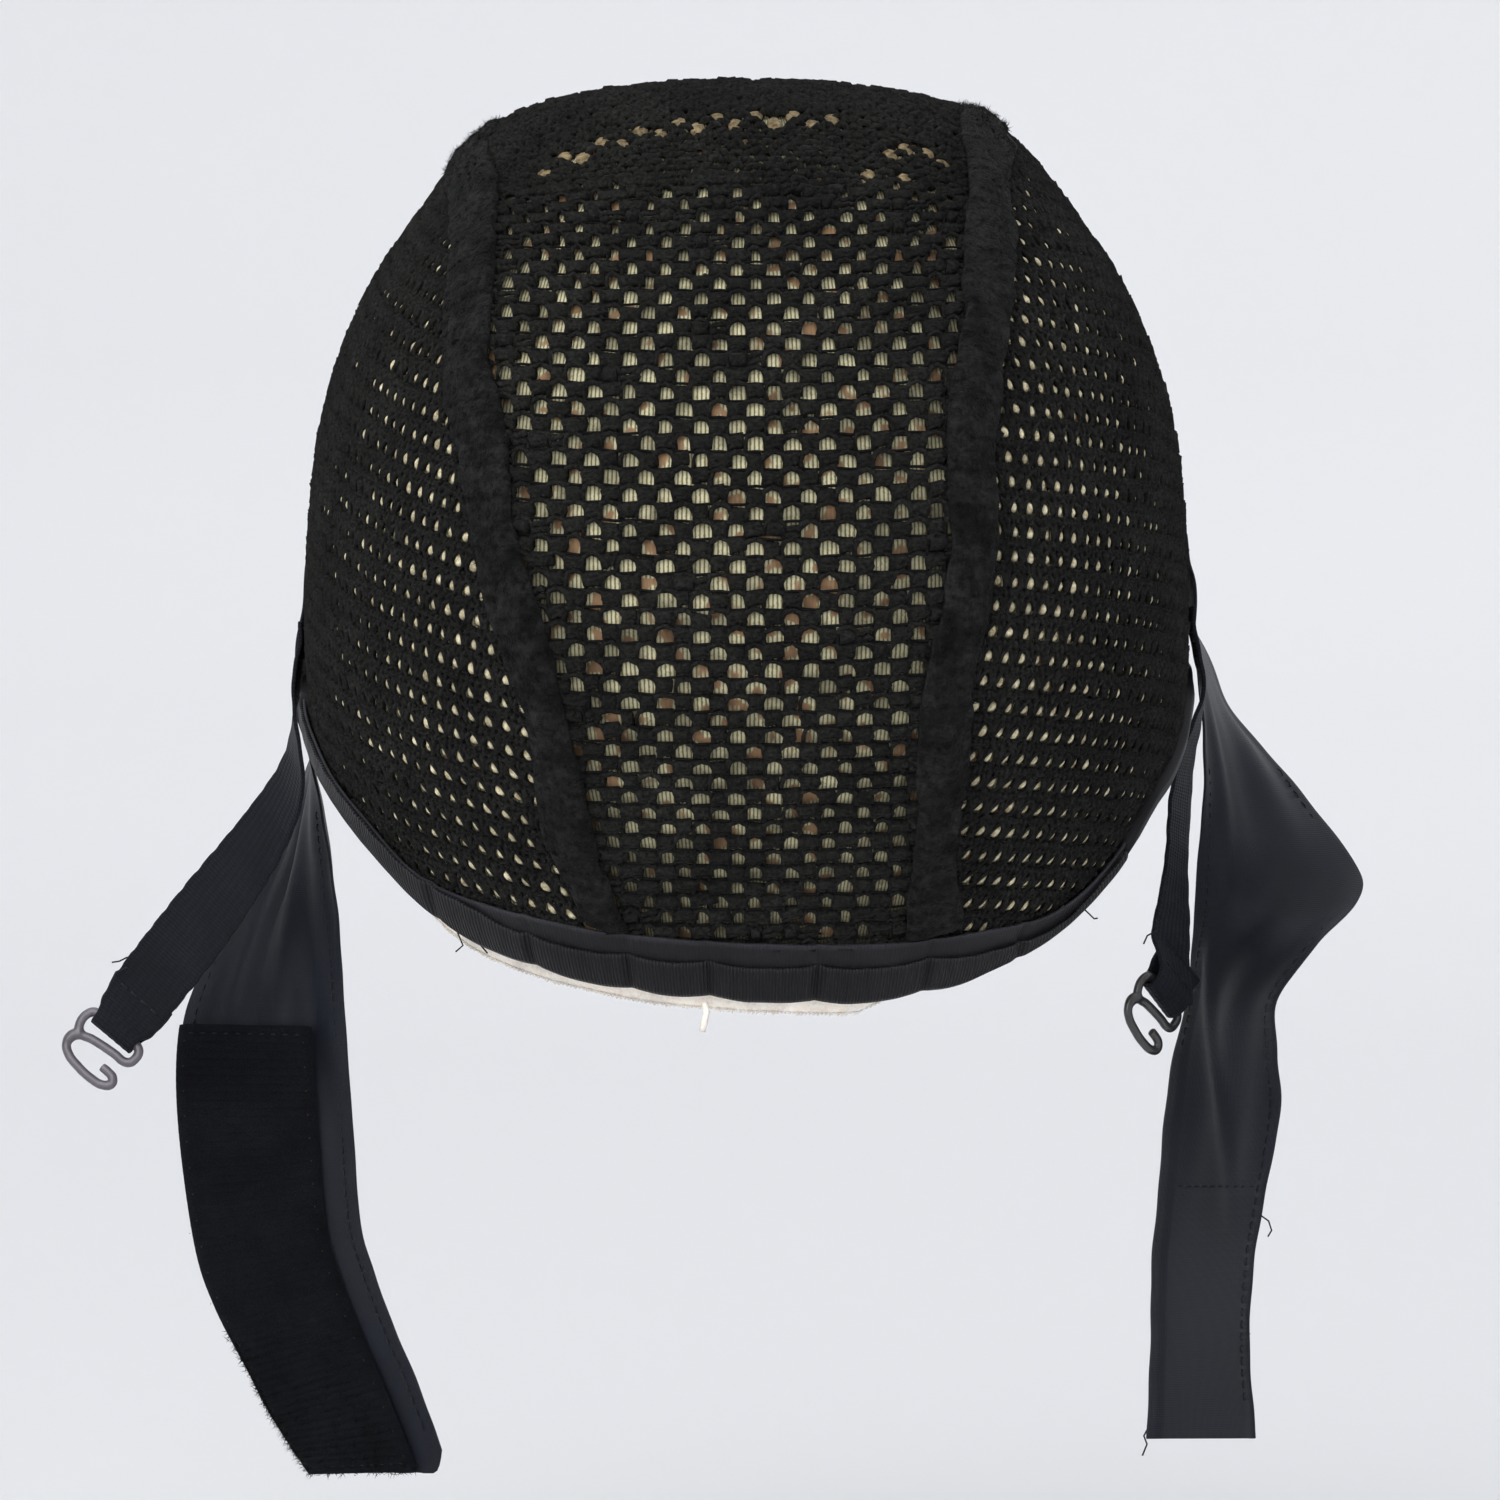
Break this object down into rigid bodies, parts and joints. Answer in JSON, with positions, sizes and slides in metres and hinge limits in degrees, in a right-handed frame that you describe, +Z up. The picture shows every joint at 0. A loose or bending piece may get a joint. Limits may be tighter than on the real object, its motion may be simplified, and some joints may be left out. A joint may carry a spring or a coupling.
{
  "type": "wig grip cap",
  "caption": "Wig grip cap as worn: coarse knitted net over a close cream liner, velvety seam tapes, satin nape band, and at each side an elastic strap with a hook and a wide strap.",
  "frame": {"origin": "inside top of the liner, where the cap sits on the top of a head", "axes": "+Z up out of the crown, +Y the way the wearer looks, so the back of the cap faces -Y; -X is the left side as seen from behind"},
  "size_m": [0.2473, 0.1952, 0.2665],
  "materials": {
    "black_knit": "matte",
    "black_tape": "velvety",
    "dark_satin": "satin",
    "navy_satin": "satin",
    "black_elastic": "matte",
    "cream_knit": "matte",
    "cream_edge": "matte",
    "black_touch": "matte",
    "grey_hook": "glossy"
  },
  "bodies": {
    "root": {"centre_panel": "black_knit", "side_panel_left": "black_knit", "side_panel_right": "black_knit", "seam_tape_left": "black_tape", "seam_tape_right": "black_tape", "liner": "cream_knit", "liner_hem": "cream_edge", "nape_band": "dark_satin", "edge_binding": "dark_satin", "wide_strap_left": "navy_satin", "wide_strap_right": "navy_satin", "touch_patch_left": "black_touch", "touch_patch_right": "black_touch", "elastic_strap_left": "black_elastic", "elastic_strap_right": "black_elastic", "strap_hook_left": "grey_hook", "strap_hook_right": "grey_hook"}
  },
  "joints": []
}
